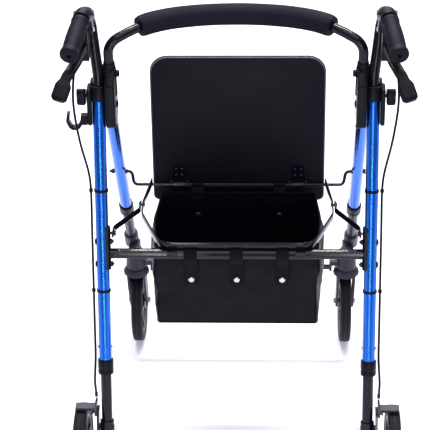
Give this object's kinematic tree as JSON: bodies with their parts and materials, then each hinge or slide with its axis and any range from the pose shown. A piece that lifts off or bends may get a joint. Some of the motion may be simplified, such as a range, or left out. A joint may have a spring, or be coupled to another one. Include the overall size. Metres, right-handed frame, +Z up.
{
  "type": "rollator walker",
  "caption": "Folding wheeled walker with sprung hand brakes, swivelling front casters, flip-up seat on a folding band, cloth bag and bowed backrest.",
  "frame": {"origin": "centre of the footprint on the floor", "axes": "+Z up, +Y forward (the way the user walks), +X to the user's right"},
  "size_m": [0.6718, 0.701, 0.9919],
  "materials": {
    "blue_tube": "glossy blue",
    "black_steel": "gloss black",
    "grey_tube": "satin grey",
    "black_plastic": "matte",
    "dark_plastic": "satin",
    "tyre_rubber": "matte",
    "grip_rubber": "matte",
    "cloth": "woven nylon",
    "vinyl": "grained",
    "bright_steel": "bright",
    "cable_jacket": "satin"
  },
  "bodies": {
    "rear_frame": {"rear_cross_tube": "black_steel", "carry_bag": "cloth", "cane_clip": "black_plastic", "rear_leg_left": "blue_tube", "rear_collar_left": "black_plastic", "top_bracket_left": "black_plastic", "brake_cable_left": "cable_jacket", "rear_leg_right": "blue_tube", "rear_collar_right": "black_plastic", "top_bracket_right": "black_plastic", "brake_cable_right": "cable_jacket"},
    "handle_left": {"handle_tube_left": "black_steel", "hand_grip_left": "grip_rubber", "lever_housing_left": "black_plastic"},
    "lever_left": {"brake_lever_left": "black_plastic"},
    "knob_left": {"height_knob_left": "black_plastic"},
    "handle_right": {"handle_tube_right": "black_steel", "hand_grip_right": "grip_rubber", "lever_housing_right": "black_plastic"},
    "lever_right": {"brake_lever_right": "black_plastic"},
    "knob_right": {"height_knob_right": "black_plastic"},
    "backrest": {"backrest_tube": "black_steel", "backrest_pad": "grip_rubber"},
    "front_frame": {"front_leg_left": "blue_tube", "front_collar_left": "black_plastic", "front_leg_right": "blue_tube", "front_collar_right": "black_plastic"},
    "front_lower": {"front_lower_tube_left": "grey_tube", "caster_housing_left": "dark_plastic", "front_lower_tube_right": "grey_tube", "caster_housing_right": "dark_plastic", "front_cross_bar": "black_steel"},
    "caster_left": {"caster_fork_left": "dark_plastic"},
    "front_roller_left": {"front_wheel_left": "dark_plastic", "front_tyre_left": "tyre_rubber"},
    "rear_lower_left": {"rear_lower_tube_left": "black_steel", "brake_bracket_left": "black_steel"},
    "rear_roller_left": {"rear_wheel_left": "dark_plastic", "rear_tyre_left": "tyre_rubber"},
    "shoe_left": {"brake_shoe_left": "bright_steel"},
    "rear_snap_left": {"rear_button_left": "bright_steel"},
    "front_snap_left": {"front_button_left": "bright_steel"},
    "caster_right": {"caster_fork_right": "dark_plastic"},
    "front_roller_right": {"front_wheel_right": "dark_plastic", "front_tyre_right": "tyre_rubber"},
    "rear_lower_right": {"rear_lower_tube_right": "black_steel", "brake_bracket_right": "black_steel"},
    "rear_roller_right": {"rear_wheel_right": "dark_plastic", "rear_tyre_right": "tyre_rubber"},
    "shoe_right": {"brake_shoe_right": "bright_steel"},
    "rear_snap_right": {"rear_button_right": "bright_steel"},
    "front_snap_right": {"front_button_right": "bright_steel"},
    "links": {"link_bar_left": "black_steel", "link_bar_right": "black_steel"},
    "seat_band": {"seat_frame": "black_steel"},
    "seat_lid": {"seat_board": "vinyl", "seat_hinge_left": "black_plastic", "seat_hinge_right": "black_plastic"}
  },
  "joints": [
    {"name": "fold", "type": "hinge", "parent": "rear_frame", "child": "front_frame", "pos_m": [0, -0.0285, 0.781], "axis": [-1, 0, 0], "range_deg": [0, 30], "deforming": ["carry_bag"]},
    {"name": "seat_band_lift", "type": "hinge", "parent": "front_frame", "child": "seat_band", "pos_m": [0, 0.1015, 0.5444], "axis": [-1, 0, 0], "range_deg": [0, 85.5]},
    {"name": "link_swing", "type": "hinge", "parent": "rear_frame", "child": "links", "pos_m": [0, -0.13162, 0.54812], "axis": [1, 0, 0], "range_deg": [0, 50.1]},
    {"name": "seat_flip", "type": "hinge", "parent": "seat_band", "child": "seat_lid", "pos_m": [0, 0.0845, 0.5225], "axis": [1, 0, 0], "range_deg": [0, 92.5]},
    {"name": "backrest_lift", "type": "slide", "parent": "rear_frame", "child": "backrest", "axis": [0, 0, 1], "range_m": [0, 0.035]},
    {"name": "front_height", "type": "slide", "parent": "front_frame", "child": "front_lower", "axis": [0, -0.4818, 0.8763], "range_m": [0, 0.0855], "deforming": ["front_button_left", "front_button_right"]},
    {"name": "handle_height_left", "type": "slide", "parent": "rear_frame", "child": "handle_left", "axis": [0, 0.3107, 0.9505], "range_m": [0, 0.1], "deforming": ["brake_cable_left"]},
    {"name": "brake_squeeze_left", "type": "hinge", "parent": "handle_left", "child": "lever_left", "pos_m": [-0.2795, -0.0355, 0.9455], "axis": [-1, 0, 0], "range_deg": [0, 6.5], "stiffness_Nm_per_rad": 1.5, "springref_deg": -8.59},
    {"name": "knob_turn_left", "type": "hinge", "parent": "rear_frame", "child": "knob_left", "pos_m": [-0.263, -0.04618, 0.80951], "axis": [1, 0, 0], "continuous": true},
    {"name": "rear_height_left", "type": "slide", "parent": "rear_frame", "child": "rear_lower_left", "axis": [0, 0.3107, 0.9505], "range_m": [0, 0.096], "deforming": ["brake_cable_left", "rear_button_left"]},
    {"name": "rear_spin_left", "type": "hinge", "parent": "rear_lower_left", "child": "rear_roller_left", "pos_m": [-0.317, -0.2555, 0.095], "axis": [1, 0, 0], "continuous": true},
    {"name": "brake_shoe_turn_left", "type": "hinge", "parent": "rear_lower_left", "child": "shoe_left", "pos_m": [-0.287, -0.2415, 0.183], "axis": [1, 0, 0], "range_deg": [0, 9.1]},
    {"name": "caster_swivel_left", "type": "hinge", "parent": "front_lower", "child": "caster_left", "pos_m": [-0.236, 0.2205, 0.2], "axis": [0, 0, 1], "continuous": true},
    {"name": "front_spin_left", "type": "hinge", "parent": "caster_left", "child": "front_roller_left", "pos_m": [-0.236, 0.2555, 0.095], "axis": [1, 0, 0], "continuous": true},
    {"name": "rear_snap_press_left", "type": "slide", "parent": "rear_lower_left", "child": "rear_snap_left", "axis": [-1, 0, 0], "range_m": [0, 0.003], "stiffness_N_per_m": 300, "springref_m": -0.001},
    {"name": "front_snap_press_left", "type": "slide", "parent": "front_lower", "child": "front_snap_left", "axis": [-1, 0, 0], "range_m": [0, 0.003], "stiffness_N_per_m": 300, "springref_m": -0.001},
    {"name": "handle_height_right", "type": "slide", "parent": "rear_frame", "child": "handle_right", "axis": [0, 0.3107, 0.9505], "range_m": [0, 0.1], "deforming": ["brake_cable_right"]},
    {"name": "brake_squeeze_right", "type": "hinge", "parent": "handle_right", "child": "lever_right", "pos_m": [0.2795, -0.0355, 0.9455], "axis": [-1, 0, 0], "range_deg": [0, 6.5], "stiffness_Nm_per_rad": 1.5, "springref_deg": -8.59},
    {"name": "knob_turn_right", "type": "hinge", "parent": "rear_frame", "child": "knob_right", "pos_m": [0.263, -0.04618, 0.80951], "axis": [1, 0, 0], "continuous": true},
    {"name": "rear_height_right", "type": "slide", "parent": "rear_frame", "child": "rear_lower_right", "axis": [0, 0.3107, 0.9505], "range_m": [0, 0.096], "deforming": ["brake_cable_right", "rear_button_right"]},
    {"name": "rear_spin_right", "type": "hinge", "parent": "rear_lower_right", "child": "rear_roller_right", "pos_m": [0.317, -0.2555, 0.095], "axis": [1, 0, 0], "continuous": true},
    {"name": "brake_shoe_turn_right", "type": "hinge", "parent": "rear_lower_right", "child": "shoe_right", "pos_m": [0.287, -0.2415, 0.183], "axis": [1, 0, 0], "range_deg": [0, 9.1]},
    {"name": "caster_swivel_right", "type": "hinge", "parent": "front_lower", "child": "caster_right", "pos_m": [0.236, 0.2205, 0.2], "axis": [0, 0, 1], "continuous": true},
    {"name": "front_spin_right", "type": "hinge", "parent": "caster_right", "child": "front_roller_right", "pos_m": [0.236, 0.2555, 0.095], "axis": [1, 0, 0], "continuous": true},
    {"name": "rear_snap_press_right", "type": "slide", "parent": "rear_lower_right", "child": "rear_snap_right", "axis": [1, 0, 0], "range_m": [0, 0.003], "stiffness_N_per_m": 300, "springref_m": -0.001},
    {"name": "front_snap_press_right", "type": "slide", "parent": "front_lower", "child": "front_snap_right", "axis": [1, 0, 0], "range_m": [0, 0.003], "stiffness_N_per_m": 300, "springref_m": -0.001}
  ],
  "couplings": [
    {"joint": "seat_band_lift", "follows": "fold", "ratio": 2.833},
    {"joint": "link_swing", "follows": "fold", "ratio": 1.653},
    {"joint": "brake_shoe_turn_left", "follows": "brake_squeeze_left", "ratio": 1.4},
    {"joint": "brake_shoe_turn_right", "follows": "brake_squeeze_right", "ratio": 1.4}
  ]
}
